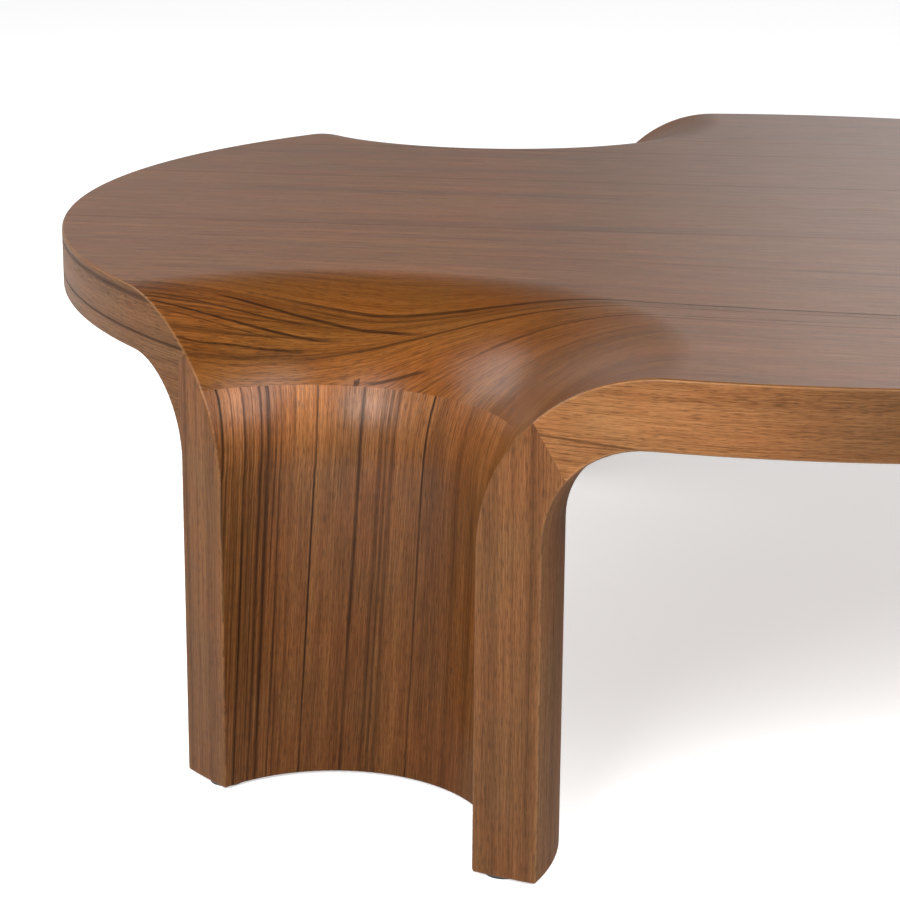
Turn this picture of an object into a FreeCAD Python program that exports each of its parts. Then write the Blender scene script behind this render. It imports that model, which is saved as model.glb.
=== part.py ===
import FreeCAD
import Part
import math
import os

os.makedirs("parts", exist_ok=True)

# A round coffee table on three scooped legs. At each leg the edge of the top rolls down
# over a large bend, the knee, into a hollow half-pipe leg that stands on the rim circle.
# The origin is on the floor under the middle of the round top, +Z is up, and one leg
# stands on the +X axis. All lengths are in millimetres and all angles in degrees.

# The whole table
height = 380.0
top_radius = 665.0

# The legs, anticlockwise from +X, and the stretches of rim that follow each of them
leg_names = ("right", "back", "front")
side_names = ("back", "left", "front")

# The scoop, the hollow that each leg is bent round
scoop_radius = 120.0
scoop_outset = 5.0
leg_wall = 50.0
knee_radius = 136.0
under_knee_radius = 73.0

# The easing of the foot's bottom edges
foot_easing = 3.0

# The layers of the top, from the outside in: veneer, board and the ribs between boards
veneer = 1.0
board = 12.0
rib_height = 25.0

# The seams between sheets of veneer
seam_angle = 61.5
mitre_angle = 44.0
kink = 9.0
kink_end_angle = 69.0

# The ribs and blocks between the two boards
rib_width = 18.0
rim_block_width = 60.0
knee_land = 25.0
knee_rail_width = 40.0
hub_width = 180.0
cross_rib_share = 0.52
halving_clearance = 0.1

# The spline that keys each knee to the top
spline_thickness = 6.0
spline_width = 24.0
groove_clearance = 0.15

# The two rings that each knee is stacked from
knee_split_share = 0.42

# The dowels between leg and knee
dowel_radius = 5.0
dowel_length = 50.0
dowel_clearance = 0.1
dowel_end_gap = 0.8
dowel_place_share = (-0.8, -0.4, 0.0, 0.4, 0.8)

# The glides that the table stands on, and their screws
glide_radius = 13.0
glide_thickness = 5.0
glide_proud = 2.0
glide_edge = 1.5
glide_side = 5.0
glide_clearance = 0.2
screw_radius = 2.0
screw_length = 25.0
screw_head_radius = 4.0
screw_head_height = 2.0
screw_clearance = 0.1
head_sink = 0.5

# Points nearer to each other than this are one point
same_place = 0.001

# How far a cut runs past the face that it starts from
overrun = 5.0

# Sizes that follow from those above
turn = 360.0
half_turn = turn / 2
quarter = turn / 4
leg_count = len(leg_names)
leg_step = turn / leg_count
slab = 2 * veneer + 2 * board + rib_height
axis_radius = top_radius + scoop_outset
core_radius = top_radius - veneer
far = axis_radius + top_radius

top_of_board = height - veneer
underside = height - slab
under_of_board = underside + veneer
rib_floor = under_of_board + board
rib_ceiling = rib_floor + rib_height
rib_middle = rib_floor + rib_height / 2

knee_rho = scoop_radius + knee_radius
knee_z = height - knee_radius
under_rho = scoop_radius + leg_wall + under_knee_radius
under_z = underside - under_knee_radius
knee_reach = max(knee_rho, under_rho) + knee_land
leg_top = min(knee_z, under_z)
knee_split = leg_top + knee_split_share * (top_of_board - leg_top)

middle_rho = scoop_radius + leg_wall / 2
rim_inside = core_radius - rim_block_width

origin = FreeCAD.Vector(0, 0, 0)
up = FreeCAD.Vector(0, 0, 1)
scoop_axis = FreeCAD.Vector(axis_radius, 0, 0)


def point(rho, z):
    """A point of a profile: rho is its distance from the scoop's axis."""
    return FreeCAD.Vector(axis_radius + rho, 0, z)


def bend_point(rho, z, radius, angle):
    """A point of a bend, at an angle turned from its top towards the scoop's axis."""
    slope = math.radians(angle)
    return point(rho - radius * math.sin(slope), z + radius * math.cos(slope))


def bend(rho, z, radius, start, end):
    """An arc of a bend between two such angles."""
    ends = [bend_point(rho, z, radius, a) for a in (start, (start + end) / 2, end)]
    return Part.Arc(*ends).toShape()


def outline(*pieces):
    """A face from points and arcs in order, joined by straight edges."""
    edges = []
    last = None
    first = None
    for piece in pieces:
        is_arc = isinstance(piece, Part.Shape)
        start = piece.firstVertex(True).Point if is_arc else piece
        end = piece.lastVertex(True).Point if is_arc else piece
        if last is not None and not last.isEqual(start, same_place):
            edges.append(Part.makeLine(last, start))
        if is_arc:
            edges.append(piece)
        if first is None:
            first = start
        last = end
    if not last.isEqual(first, same_place):
        edges.append(Part.makeLine(last, first))
    return Part.Face(Part.Wire(edges))


def spun(face, angle=turn):
    """A profile turned about the scoop's axis."""
    return face.revolve(scoop_axis, up, angle)


def drum(radius, low, high):
    """A solid cylinder about the table's middle."""
    return Part.makeCylinder(radius, high - low, FreeCAD.Vector(0, 0, low))


def scoop_drum(radius, low, high):
    """A solid cylinder about the scoop's axis."""
    return Part.makeCylinder(radius, high - low, FreeCAD.Vector(axis_radius, 0, low))


def turned(shape, places):
    """A copy of a shape, moved on by that many legs."""
    copy = shape.copy()
    copy.rotate(origin, up, places * leg_step)
    return copy


def all_round(shape):
    """A list of copies of a shape, one at each leg."""
    return [turned(shape, k) for k in range(leg_count)]


def box(length, width, low, high, start=0):
    """A bar along +X, centred on the X axis."""
    corner = FreeCAD.Vector(start, -width / 2, low)
    return Part.makeBox(length, width, high - low, corner)


def end_angle(rho):
    """How far round the scoop, in radians, the leg's wall reaches from its middle."""
    return math.acos((axis_radius**2 + rho**2 - core_radius**2) / (2 * axis_radius * rho))


def spot(share, rho, z):
    """A place in the leg's wall, at a share of the way from its middle to its end."""
    angle = math.radians(half_turn) + share * end_angle(rho)
    x = axis_radius + rho * math.cos(angle)
    return FreeCAD.Vector(x, rho * math.sin(angle), z)


def knee_profile():
    """The core of the knee, from the top of the leg to the edge of the boards."""
    return outline(
        point(scoop_radius + veneer, leg_top),
        bend(knee_rho, knee_z, knee_radius - veneer, quarter, 0),
        point(knee_reach, top_of_board),
        point(knee_reach, under_of_board),
        bend(under_rho, under_z, under_knee_radius + veneer, 0, quarter),
        point(scoop_radius + leg_wall - veneer, leg_top),
    )


def knee_groove():
    """The groove in the knee and the rail that takes the spline."""
    half = spline_thickness / 2 + groove_clearance
    reach = spline_width / 2 + groove_clearance
    ring = scoop_drum(knee_reach + reach, rib_middle - half, rib_middle + half)
    return ring.cut(scoop_drum(knee_reach - reach, rib_middle - half, rib_middle + half))


def knee_rings():
    """The lower and the upper ring of the knee."""
    whole = spun(knee_profile())
    lower = whole.common(drum(core_radius, leg_top, knee_split))
    lower = lower.cut(dowel_holes())
    upper = whole.common(drum(core_radius, knee_split, top_of_board))
    return lower, upper.cut(knee_groove())


def dowel_at(share, radius, length):
    """A dowel, or its hole, halfway across the joint of leg and knee."""
    return Part.makeCylinder(radius, length, spot(share, middle_rho, leg_top - length / 2))


def leg_dowels():
    return Part.makeCompound([dowel_at(s, dowel_radius, dowel_length) for s in dowel_place_share])


def dowel_holes():
    radius = dowel_radius + dowel_clearance
    length = dowel_length + 2 * dowel_end_gap
    return Part.makeCompound([dowel_at(s, radius, length) for s in dowel_place_share])


def glide_spots(z):
    """The three places of a leg's glides: near its two ends and in its middle."""
    end_rho = scoop_radius + glide_side + glide_radius
    end_share = 1 - (glide_edge + glide_radius) / (end_rho * end_angle(end_rho))
    return [spot(-end_share, end_rho, z), spot(0, middle_rho, z), spot(end_share, end_rho, z)]


def glides():
    """Round plastic glides, each with a hole and a sunk seat for its screw."""
    pieces = []
    for place in glide_spots(0):
        disc = Part.makeCylinder(glide_radius, glide_thickness, place)
        seat = Part.makeCylinder(screw_head_radius + screw_clearance, head_sink + screw_head_height, place)
        hole = Part.makeCylinder(screw_radius + screw_clearance, glide_thickness, place)
        pieces.append(disc.cut(seat).cut(hole))
    return Part.makeCompound(pieces)


def glide_screws():
    pieces = []
    for place in glide_spots(head_sink):
        head = Part.makeCylinder(screw_head_radius, screw_head_height, place)
        shank = Part.makeCylinder(screw_radius, screw_length, place)
        pieces.append(head.fuse(shank).removeSplitter())
    return Part.makeCompound(pieces)


def glide_recesses():
    """What the glides and their screws need cut out of the foot of the leg."""
    pieces = []
    for place in glide_spots(0):
        pocket = Part.makeCylinder(glide_radius + glide_clearance, glide_thickness, place)
        depth = head_sink + screw_length + screw_clearance
        pilot = Part.makeCylinder(screw_radius + screw_clearance, depth, place)
        pieces.append(pocket.fuse(pilot))
    return Part.makeCompound(pieces)


def easing(rho, inward, axis):
    """What rounds one bottom edge of the foot. The edge is at rho, and runs round an axis."""
    outside = rho - inward * overrun
    inside = rho + inward * foot_easing
    middle = math.sqrt(1 / 2) * foot_easing
    top = glide_proud + foot_easing
    rounding = Part.Arc(
        point(rho, top),
        point(inside - inward * middle, top - middle),
        point(inside, glide_proud),
    )
    low = glide_proud - overrun
    face = outline(point(outside, top), rounding.toShape(), point(inside, low), point(outside, low))
    return face.revolve(axis, up, turn)


def foot_easings():
    """The cuts that round the foot's bottom edges: at the hollow, at the back and at the lips."""
    return [
        easing(scoop_radius, 1, scoop_axis),
        easing(scoop_radius + leg_wall, -1, scoop_axis),
        easing(-scoop_outset, -1, origin),
    ]


def leg_panel():
    """The half-pipe core of the leg."""
    ring = scoop_drum(scoop_radius + leg_wall - veneer, glide_proud, leg_top)
    ring = ring.cut(scoop_drum(scoop_radius + veneer, glide_proud, leg_top))
    panel = ring.common(drum(core_radius, glide_proud, leg_top))
    return panel.cut(dowel_holes()).cut(glide_recesses()).cut(foot_easings())


def scoop_veneer():
    """The sheet on the hollow face of the leg, up over the lower part of the knee."""
    face = outline(
        point(scoop_radius, glide_proud),
        bend(knee_rho, knee_z, knee_radius, quarter, seam_angle),
        bend(knee_rho, knee_z, knee_radius - veneer, seam_angle, quarter),
        point(scoop_radius + veneer, glide_proud),
    )
    return spun(face).common(drum(top_radius, glide_proud, height)).cut(foot_easings())


def inner_veneer():
    """The sheet on the round inner face of the leg, up to the underside of the top."""
    back = scoop_radius + leg_wall
    face = outline(
        point(back, glide_proud),
        bend(under_rho, under_z, under_knee_radius, quarter, 0),
        bend(under_rho, under_z, under_knee_radius + veneer, 0, quarter),
        point(back - veneer, glide_proud),
    )
    return spun(face).common(drum(top_radius, glide_proud, height)).cut(foot_easings())


def knee_skirt():
    """The part of the top sheet that is pressed down over one knee."""
    face = outline(
        bend(knee_rho, knee_z, knee_radius, 0, seam_angle),
        bend(knee_rho, knee_z, knee_radius - veneer, seam_angle, 0),
    )
    return spun(face).common(drum(top_radius, knee_z, height))


def top_veneer():
    """The one sheet over the flat top and the upper part of the three knees."""
    sheet = drum(top_radius, top_of_board, height)
    for hole in all_round(scoop_drum(knee_rho, top_of_board, height)):
        sheet = sheet.cut(hole)
    return sheet.fuse(all_round(knee_skirt())).removeSplitter()


def under_veneer():
    """The sheet under the top, between the three legs."""
    sheet = drum(top_radius, underside, under_of_board)
    for hole in all_round(scoop_drum(under_rho, underside, under_of_board)):
        sheet = sheet.cut(hole)
    return sheet


def seam_points(side):
    """The seam between lip and rim veneer, from the knee's bend to the under bend."""
    outer = bend_point(knee_rho, knee_z, knee_radius - veneer, mitre_angle)
    if side == "right":
        return [outer, bend_point(under_rho, under_z, under_knee_radius + veneer, mitre_angle)]
    turn_in = outer + FreeCAD.Vector(kink, 0, -kink)
    return [outer, turn_in, bend_point(under_rho, under_z, under_knee_radius + veneer, kink_end_angle)]


def seam_end_angle(side):
    return mitre_angle if side == "right" else kink_end_angle


def rim_shell(low, high, start, angle):
    """A thin upright band on the rim circle, over some degrees of it."""
    band = drum(top_radius, low, high).cut(drum(core_radius, low, high))
    wedge = Part.makeCylinder(far, high - low, FreeCAD.Vector(0, 0, low), up, angle)
    wedge.rotate(origin, up, start)
    return band.common(wedge)


def lip_veneer(side):
    """The upright strip on one end face of the leg."""
    seam = seam_points(side)
    face = outline(
        point(scoop_radius + veneer, glide_proud),
        bend(knee_rho, knee_z, knee_radius - veneer, quarter, mitre_angle),
        *seam[1:-1],
        bend(under_rho, under_z, under_knee_radius + veneer, seam_end_angle(side), quarter),
        point(scoop_radius + leg_wall - veneer, glide_proud),
    )
    half = spun(face, half_turn if side == "right" else -half_turn)
    return half.common(rim_shell(glide_proud, height, -leg_step / 2, leg_step)).cut(foot_easings())


def rim_half(side):
    """Half of a rim strip, from one lip's seam to midway between two legs."""
    seam = seam_points(side)
    face = outline(
        bend(knee_rho, knee_z, knee_radius - veneer, mitre_angle, 0),
        point(far, top_of_board),
        point(far, under_of_board),
        bend(under_rho, under_z, under_knee_radius + veneer, 0, seam_end_angle(side)),
        *seam[1:-1][::-1],
    )
    start = 0 if side == "right" else -leg_step / 2
    half = spun(face, half_turn if side == "right" else -half_turn)
    return half.common(rim_shell(leg_top, height, start, leg_step / 2))


def rim_veneer():
    """The strip along the rim from one leg to the next."""
    return rim_half("right").fuse(turned(rim_half("left"), 1)).removeSplitter()


def slab_board(low):
    """One of the two boards, cut back to the knees."""
    sheet = drum(core_radius, low, low + board)
    for hole in all_round(scoop_drum(knee_reach, low, low + board)):
        sheet = sheet.cut(hole)
    return sheet


def rim_block():
    """The solid edge between the boards, from one knee to the next."""
    ring = drum(core_radius, rib_floor, rib_ceiling).cut(drum(rim_inside, rib_floor, rib_ceiling))
    wedge = Part.makeCylinder(far, rib_height, FreeCAD.Vector(0, 0, rib_floor), up, leg_step)
    block = ring.common(wedge)
    for place in (0, 1):
        block = block.cut(turned(scoop_drum(knee_reach, rib_floor, rib_ceiling), place))
    return block


def knee_rail():
    """The bent rail between the boards that backs the knee."""
    outer = knee_reach + knee_rail_width
    ring = scoop_drum(outer, rib_floor, rib_ceiling).cut(scoop_drum(knee_reach, rib_floor, rib_ceiling))
    return ring.common(drum(rim_inside, rib_floor, rib_ceiling)).cut(knee_groove())


def knee_spline():
    """The loose tongue glued half into the knee and half into the rail."""
    low = rib_middle - spline_thickness / 2
    high = rib_middle + spline_thickness / 2
    reach = spline_width / 2
    ring = scoop_drum(knee_reach + reach, low, high).cut(scoop_drum(knee_reach - reach, low, high))
    return ring.common(drum(rim_inside - groove_clearance, low, high))


def core_hub():
    """The six-sided block in the middle, with a flat for each rib."""
    corner = hub_width / 2 / math.cos(math.radians(leg_step / 4))
    corners = []
    for k in range(2 * leg_count + 1):
        angle = math.radians((k + 1 / 2) * leg_step / 2)
        corners.append(FreeCAD.Vector(corner * math.cos(angle), corner * math.sin(angle), rib_floor))
    return Part.Face(Part.makePolygon(corners)).extrude(FreeCAD.Vector(0, 0, rib_height))


def knee_rib():
    """The rib from the hub to a knee's rail."""
    bar = box(axis_radius, rib_width, rib_floor, rib_ceiling, hub_width / 2)
    return bar.cut(scoop_drum(knee_reach + knee_rail_width, rib_floor, rib_ceiling))


def cross_place():
    """How far from the middle a cross rib passes over a rim rib."""
    return cross_rib_share * rim_inside


def rim_rib():
    """The rib from the hub to the rim, halved to let a cross rib through."""
    bar = box(far, rib_width, rib_floor, rib_ceiling, hub_width / 2)
    bar = bar.common(drum(rim_inside, rib_floor, rib_ceiling))
    slot = rib_width / 2 + halving_clearance
    notch = box(2 * slot, 2 * rib_width, rib_middle, rib_ceiling, cross_place() - slot)
    bar = bar.cut(notch)
    bar.rotate(origin, up, leg_step / 2)
    return bar


def cross_rib():
    """The rib between two knee ribs, halved over the rim rib that it crosses."""
    start = cross_place() - rib_width / 2
    bar = box(rib_width, 2 * far, rib_floor, rib_ceiling, start)
    slot = 2 * (rib_width / 2 + halving_clearance)
    bar = bar.cut(box(2 * rib_width, slot, rib_floor, rib_middle, start - rib_width / 2))
    bar.rotate(origin, up, leg_step / 2)
    lane = Part.makeCylinder(far, rib_height, FreeCAD.Vector(0, 0, rib_floor), up, leg_step)
    bar = bar.common(lane)
    for place in (0, 1):
        rib_lane = box(far, rib_width, rib_floor, rib_ceiling)
        rail_side = scoop_drum(knee_reach + knee_rail_width, rib_floor, rib_ceiling)
        bar = bar.cut(turned(rib_lane, place)).cut(turned(rail_side, place))
    return bar


def write(name, shape):
    shape.exportStep(os.path.join("parts", name + ".step"))
    print(name, "solids", len(shape.Solids), "valid", shape.isValid(), "volume", round(shape.Volume))


lower_ring, upper_ring = knee_rings()

whole_pieces = {
    "top_veneer": top_veneer(),
    "under_veneer": under_veneer(),
    "upper_board": slab_board(rib_ceiling),
    "lower_board": slab_board(under_of_board),
    "core_hub": core_hub(),
}

# Pieces at each leg, made for the leg on the +X axis
leg_pieces = {
    "scoop_veneer": scoop_veneer(),
    "inner_veneer": inner_veneer(),
    "left_lip_veneer": lip_veneer("left"),
    "right_lip_veneer": lip_veneer("right"),
    "leg_panel": leg_panel(),
    "knee_lower": lower_ring,
    "knee_upper": upper_ring,
    "knee_spline": knee_spline(),
    "knee_rail": knee_rail(),
    "knee_rib": knee_rib(),
    "leg_dowels": leg_dowels(),
    "glides": glides(),
    "glide_screws": glide_screws(),
}

# Pieces between two legs, made for the stretch that follows the leg on the +X axis
side_pieces = {
    "rim_veneer": rim_veneer(),
    "rim_block": rim_block(),
    "rim_rib": rim_rib(),
    "cross_rib": cross_rib(),
}

for name, shape in whole_pieces.items():
    write(name, shape)
for pieces, places in ((leg_pieces, leg_names), (side_pieces, side_names)):
    for name, shape in pieces.items():
        for k, place in enumerate(places):
            write(name + "_" + place, turned(shape, k))
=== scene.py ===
import bmesh
import bpy
import math
from collections import namedtuple
from mathutils import Matrix, Vector


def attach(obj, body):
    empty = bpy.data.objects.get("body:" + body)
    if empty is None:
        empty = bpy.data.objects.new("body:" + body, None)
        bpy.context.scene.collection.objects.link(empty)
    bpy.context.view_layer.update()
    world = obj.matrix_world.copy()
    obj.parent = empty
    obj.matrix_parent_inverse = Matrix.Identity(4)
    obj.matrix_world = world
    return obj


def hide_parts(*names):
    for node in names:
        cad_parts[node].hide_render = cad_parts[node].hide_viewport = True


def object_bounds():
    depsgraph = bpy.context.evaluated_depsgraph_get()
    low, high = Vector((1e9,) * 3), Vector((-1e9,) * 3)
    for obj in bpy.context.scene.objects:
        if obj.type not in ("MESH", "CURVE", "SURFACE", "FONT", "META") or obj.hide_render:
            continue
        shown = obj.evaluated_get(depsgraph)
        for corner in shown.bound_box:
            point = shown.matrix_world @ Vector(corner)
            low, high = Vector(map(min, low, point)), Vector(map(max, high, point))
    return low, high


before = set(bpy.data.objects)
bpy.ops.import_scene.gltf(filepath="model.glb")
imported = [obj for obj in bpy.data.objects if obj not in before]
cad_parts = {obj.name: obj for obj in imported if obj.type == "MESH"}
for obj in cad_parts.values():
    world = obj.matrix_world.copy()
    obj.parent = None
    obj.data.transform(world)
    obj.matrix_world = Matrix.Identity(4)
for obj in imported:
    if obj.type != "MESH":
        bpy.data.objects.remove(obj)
cad_low, cad_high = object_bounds()
bpy.context.scene.view_settings.view_transform = "Standard"

# Boards, blocks, ribs and rails
# The core of the top is two sheets of fibreboard over a hub, ribs and rim blocks of the same
# stuff, glued face to face. The veneer hides all of it once the table is finished.

places = ("right", "back", "front")
sides = ("back", "left", "front")

board_tones = ((0.26, 0.17, 0.095, 1), (0.47, 0.34, 0.21, 1))
board_speck_size = 0.0012
board_cloud_size = 0.05
board_speck_share = 0.7
board_rough = (0.78, 0.92)

# A cloud's values lie about this middle, and nearly all of them in this range
cloud_middle = 0.5
usual_range = (0.3, 0.7)


def add(tree, kind, values=None, **settings):
    """A shader node. Values go to its inputs: a socket is linked, anything else is set."""
    made = tree.nodes.new(kind)
    for key, value in settings.items():
        setattr(made, key, value)
    for key, value in (values or {}).items():
        if isinstance(value, bpy.types.NodeSocket):
            tree.links.new(value, made.inputs[key])
        else:
            made.inputs[key].default_value = value
    return made


def maths(tree, operation, *values):
    made = add(tree, "ShaderNodeMath", dict(enumerate(values)), operation=operation)
    return made.outputs[0]


def spread(tree, value, low, high, new_low=0.0, new_high=1.0, smooth=False):
    """A value moved from one range to another, each given as its two ends, and held within it."""
    values = {"Value": value, "From Min": low, "From Max": high, "To Min": new_low, "To Max": new_high}
    kind = "SMOOTHSTEP" if smooth else "LINEAR"
    return add(tree, "ShaderNodeMapRange", values, interpolation_type=kind).outputs[0]


def mixed(tree, share, first, second, blend="MIX"):
    """One colour laid over another by a share."""
    made = add(tree, "ShaderNodeMix", data_type="RGBA", blend_type=blend)
    for socket, value in zip((made.inputs[0], made.inputs[6], made.inputs[7]), (share, first, second)):
        if isinstance(value, bpy.types.NodeSocket):
            tree.links.new(value, socket)
        else:
            socket.default_value = value
    return made.outputs[2]


def clouds(tree, place, detail=2.0, rough=0.5):
    """A soft random value that follows a place."""
    values = {"Vector": place, "Scale": 1.0, "Detail": detail, "Roughness": rough}
    return add(tree, "ShaderNodeTexNoise", values).outputs[0]


def scaled(tree, place, factor):
    values = {0: place, 3: factor}
    return add(tree, "ShaderNodeVectorMath", values, operation="SCALE").outputs[0]


def new_finish(name, **fixed):
    """A material and its shader, with the values that are the same all over it."""
    material = bpy.data.materials.new(name)
    material.use_nodes = True
    tree = material.node_tree
    tree.nodes.clear()
    shader = add(tree, "ShaderNodeBsdfPrincipled")
    for key, value in fixed.items():
        shader.inputs[key.replace("_", " ")].default_value = value
    output = add(tree, "ShaderNodeOutputMaterial")
    tree.links.new(shader.outputs[0], output.inputs[0])
    return material, tree, shader


def surface(tree, shader, colour, rough, height, depth, strength):
    """Gives a shader its colour, its roughness and its relief, all of which vary over the piece."""
    relief = add(tree, "ShaderNodeBump", {"Height": height, "Distance": depth, "Strength": strength})
    for key, value in (("Base Color", colour), ("Roughness", rough), ("Normal", relief.outputs[0])):
        tree.links.new(value, shader.inputs[key])


def in_object(tree):
    return add(tree, "ShaderNodeTexCoord").outputs["Object"]


def fibreboard():
    """Brown board of pressed fibres: fine specks over soft clouds."""
    material, tree, shader = new_finish("fibreboard")
    place = in_object(tree)
    specks = clouds(tree, scaled(tree, place, 1 / board_speck_size), detail=3.0, rough=0.7)
    soft = clouds(tree, scaled(tree, place, 1 / board_cloud_size))
    soft_part = maths(tree, "MULTIPLY", soft, 1 - board_speck_share)
    share = maths(tree, "MULTIPLY_ADD", specks, board_speck_share, soft_part)
    colour = mixed(tree, spread(tree, share, *usual_range), *board_tones)
    rough = spread(tree, specks, *usual_range, *board_rough)
    surface(tree, shader, colour, rough, specks, depth=0.0002, strength=0.5)
    return material


def dress(material, *nodes):
    """Gives solids of the frame their finish."""
    for name in nodes:
        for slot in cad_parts[name].material_slots:
            slot.material = material


def at_each(stem, where=places):
    return [stem + "_" + place for place in where]


board_finish = fibreboard()
dress(board_finish, "upper_board", "lower_board", "core_hub")
for stem in ("knee_lower", "knee_upper", "knee_rail", "knee_rib"):
    dress(board_finish, *at_each(stem))
for stem in ("rim_block", "rim_rib", "cross_rib"):
    dress(board_finish, *at_each(stem, sides))

# Leg panels
# Each leg's core is a half-pipe of thin plies bent round a form and glued. Only its foot shows,
# where the edges of the plies are rounded over and stained to match the veneer.

# The axis that each leg is bent round stands just outside the rim
table_radius = -cad_low.x
axis_past_rim = 0.005
axis_radius = table_radius + axis_past_rim
leg_turn = 2 * math.pi / len(places)

ply_thickness = 0.0025
ply_tones = ((0.045, 0.022, 0.011, 1), (0.095, 0.045, 0.02, 1))
ply_share = 0.5
ply_fibres_per_metre = 900.0
ply_contrast = (0.2, 0.8)
ply_rough = (0.5, 0.7)


def bent_plywood():
    """Plies that follow the leg's round, seen as rings about the three scoops' axes."""
    material, tree, shader = new_finish("bent_plywood")
    place = in_object(tree)
    nearest = None
    for k in range(len(places)):
        angle = k * leg_turn
        centre = (axis_radius * math.cos(angle), axis_radius * math.sin(angle), 0)
        flat = add(tree, "ShaderNodeVectorMath", {0: place, 1: (1, 1, 0)}, operation="MULTIPLY")
        gap = add(tree, "ShaderNodeVectorMath", {0: flat.outputs[0], 1: centre}, operation="DISTANCE")
        distance = gap.outputs["Value"]
        nearest = distance if nearest is None else maths(tree, "MINIMUM", nearest, distance)
    ply = maths(tree, "PINGPONG", nearest, ply_thickness)
    fibres = clouds(tree, scaled(tree, place, ply_fibres_per_metre), detail=3.0)
    ply_part = spread(tree, ply, 0, ply_thickness, 0, ply_share)
    share = maths(tree, "MULTIPLY_ADD", fibres, 1 - ply_share, ply_part)
    colour = mixed(tree, spread(tree, share, *ply_contrast), *ply_tones)
    rough = spread(tree, fibres, *usual_range, *ply_rough)
    surface(tree, shader, colour, rough, fibres, depth=0.0002, strength=0.4)
    return material


dress(bent_plywood(), *at_each("leg_panel"))

# Dowels and splines
# Turned beech dowels pin each leg to its knee, and a loose beech tongue keys the knee to the
# top. Both are glued in and sealed inside.

beech_tones = ((0.46, 0.27, 0.13, 1), (0.62, 0.42, 0.24, 1))
beech_grain_per_metre = (600, 600, 60)
beech_flecks_per_metre = 1200.0
beech_fleck_range = (0.62, 0.7, 0.0, 0.5)
beech_rough = (0.48, 0.62)


def beech():
    """Pale straight wood with short dark flecks along it."""
    material, tree, shader = new_finish("beech")
    place = in_object(tree)
    values = {0: place, 1: beech_grain_per_metre}
    stretched = add(tree, "ShaderNodeVectorMath", values, operation="MULTIPLY")
    grain = clouds(tree, stretched.outputs[0], detail=3.0, rough=0.6)
    flecks = clouds(tree, scaled(tree, place, beech_flecks_per_metre), detail=1.0)
    colour = mixed(tree, spread(tree, grain, *usual_range), *beech_tones)
    colour = mixed(tree, spread(tree, flecks, *beech_fleck_range), colour, beech_tones[0])
    rough = spread(tree, grain, *usual_range, *beech_rough)
    surface(tree, shader, colour, rough, grain, depth=0.0001, strength=0.4)
    return material


beech_finish = beech()
dress(beech_finish, *at_each("leg_dowels"), *at_each("knee_spline"))

# Inner veneers
# A walnut sheet covers the round back of each leg, grain upright, and sweeps out under the top.
# It was pressed on round the panel, and its two edges are sanded over into the lips.

table_height = cad_high.z
scoop_radius = 0.120
leg_wall = 0.050
under_bend = 0.073
slab = 0.051
underside = table_height - slab
back_rho = scoop_radius + leg_wall
under_rho = back_rho + under_bend
under_z = underside - under_bend

# The sheet is drawn a little thinner than the veneer's own thickness, clear of the core
veneer = 0.001
sheet = 0.0009
same_place = 0.000002
arris_radius = 0.0022
foot_radius = 0.003
foot_z = 0.002
foot_top = foot_z + foot_radius
foot_turn = math.acos(1 - veneer / foot_radius)

turns = [Matrix.Rotation(k * leg_turn, 4, "Z") for k in range(len(places))]
turned_columns = 90
leg_rows = 12
under_rows = 18
arris_rows = 5
arris_middle = math.pi / 4
quarter = math.pi / 2

mm_per_metre = 1000
inner_tones = ((0.053, 0.025, 0.011, 1), (0.106, 0.051, 0.022, 1), (0.16, 0.08, 0.037, 1))
# Each dark line's place across the grain and its half width in mm, and how dark it is
inner_lines = ((-150, 9, 0.5), (-60, 5, 0.4), (20, 7, 0.5), (95, 5, 0.45), (170, 9, 0.6))

# A spot on a sheet: its distance from the scoop's axis, its height, the way its face looks, the
# ring round the table that trims the sheet there, and how far along the grain it lies
Spot = namedtuple("Spot", "rho z out_rho out_z ring along")
# A dot of a sheet's skin: its place, how far along and across the grain, and how far it is painted pale
# at an arris, partly as wear and partly as a painted highlight
Dot = namedtuple("Dot", "place along across rubbed")


def spans(start, end, count):
    """Evenly spaced values from start to end, both kept."""
    return [start + (end - start) * k / count for k in range(count + 1)]


def corner_angle(first, second, opposite):
    """The angle between two sides of a triangle, from the lengths of all three."""
    return math.acos((first**2 + second**2 - opposite**2) / (2 * first * second))


def edge_angle(rho, ring):
    """How far round the scoop a circle of that radius runs before it leaves the ring."""
    return corner_angle(axis_radius, rho, ring)


def on_ring(rho, z, ring, side):
    """Where a circle round the scoop's axis crosses a ring round the table, on one side."""
    x = (axis_radius**2 + ring**2 - rho**2) / (2 * axis_radius)
    return Vector((x, -side * math.sqrt(ring**2 - x**2), z))


def round_scoop(spot, share):
    """A place on a sheet that is turned round the scoop's axis."""
    angle = share * edge_angle(spot.rho, spot.ring - arris_radius)
    x = axis_radius - spot.rho * math.cos(angle)
    return Vector((x, -spot.rho * math.sin(angle), spot.z)), angle


def spot_edge(spot, side):
    """The sheet's edge at the rim, as a function of the ring and of how deep below the face."""
    def edge(ring, drop):
        return on_ring(spot.rho - drop * spot.out_rho, spot.z - drop * spot.out_z, ring, side)
    return edge


def eased(edge, ring, angle):
    """A place on the rounded arris between a face, at angle 0, and the rim, at a quarter turn."""
    corner = edge(ring, 0)
    on_face = edge(ring - arris_radius, 0)
    on_rim = edge(ring, arris_radius)
    centre = on_face + on_rim - corner
    return centre + (corner - on_rim) * math.cos(angle) + (corner - on_face) * math.sin(angle)


def foot_spots(rho, out):
    """The rounded bottom edge of a sheet on the leg, from below up."""
    spots = []
    for angle in spans(foot_turn, 0, arris_rows)[:-1]:
        back = foot_radius * (1 - math.cos(angle))
        z = foot_top - foot_radius * math.sin(angle)
        spots.append(Spot(rho - out * back, z, out, 0, table_radius - back, z))
    return spots


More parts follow.
